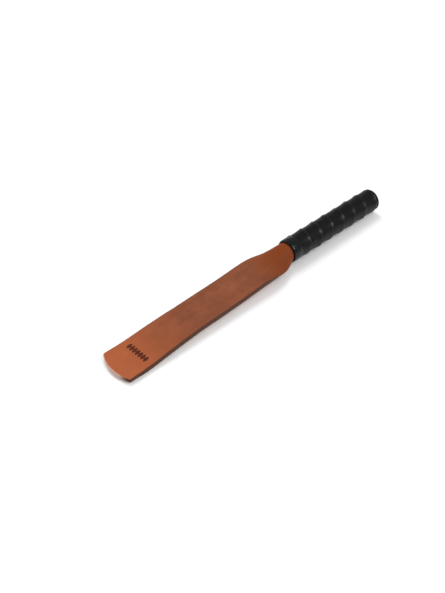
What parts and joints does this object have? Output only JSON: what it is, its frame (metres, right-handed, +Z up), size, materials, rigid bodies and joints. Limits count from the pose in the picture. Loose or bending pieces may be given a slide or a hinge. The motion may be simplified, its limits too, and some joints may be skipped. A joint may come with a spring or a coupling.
{
  "type": "leather strop",
  "caption": "Flexible two-layer leather paddle strop with an arc tip, a rolled neck and a round grip bound in overlapping black leather.",
  "frame": {"origin": "below the middle of the strop's length, on the plane it lies on", "axes": "+X along the strop from the tip to the butt, +Y across the blade, +Z up out of the stropping face"},
  "size_m": [0.3753, 0.0434, 0.0285],
  "materials": {
    "tan_leather": "oiled, with burnished edges",
    "black_leather": "matt, fine grain",
    "black_band": "smooth, slightly polished",
    "hardwood": "plain turned",
    "steel": "plain"
  },
  "bodies": {
    "root": {"upper_leather": "tan_leather", "lower_leather": "tan_leather", "filler_strip": "tan_leather", "handle_core": "hardwood", "grip_strip": "black_leather", "finish_band": "black_band", "butt_disc": "black_leather", "butt_tack": "steel", "tail_tack_1": "steel", "tail_tack_2": "steel", "tail_tack_3": "steel", "filler_tack_1": "steel", "filler_tack_2": "steel"}
  },
  "joints": []
}
